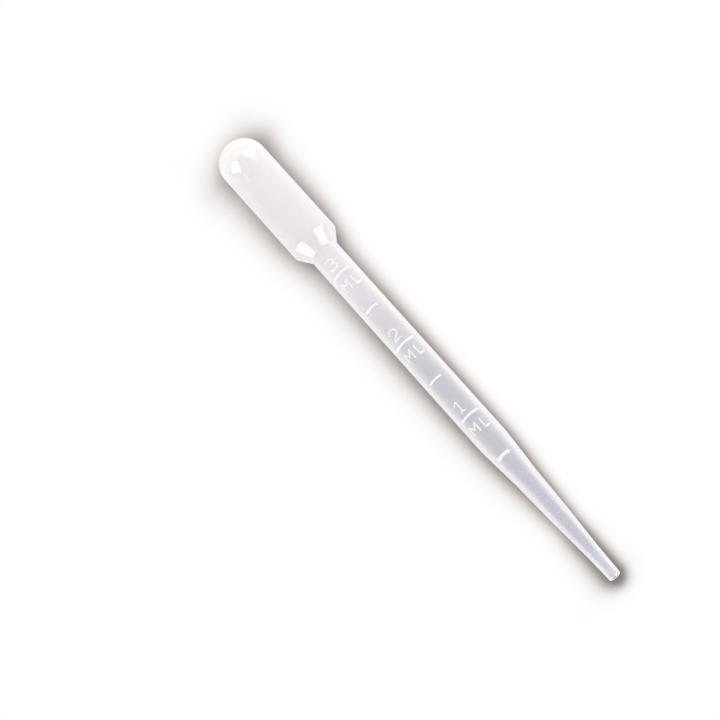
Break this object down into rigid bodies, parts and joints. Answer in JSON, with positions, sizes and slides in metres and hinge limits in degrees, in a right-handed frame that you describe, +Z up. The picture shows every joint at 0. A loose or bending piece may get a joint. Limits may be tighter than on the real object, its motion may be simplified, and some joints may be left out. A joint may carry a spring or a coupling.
{
  "type": "dropper pipette",
  "caption": "Hollow squeeze-bulb dropper pipette in translucent soft plastic, with a straight graduated stem and a long taper to a fine open tip.",
  "frame": {"origin": "middle of the base of the bounding box of the pipette as it lies on a table", "axes": "+X from the bulb to the nozzle, +Z up and towards the graduated side; the pipette's own axis drops 2.04 degrees towards the nozzle, because the bulb is thicker than the stem"},
  "size_m": [0.155, 0.0132, 0.0143],
  "materials": {
    "ldpe": "translucent milky low-density polyethylene with a soft satin surface"
  },
  "bodies": {
    "root": {"pipette": "ldpe"}
  },
  "joints": []
}
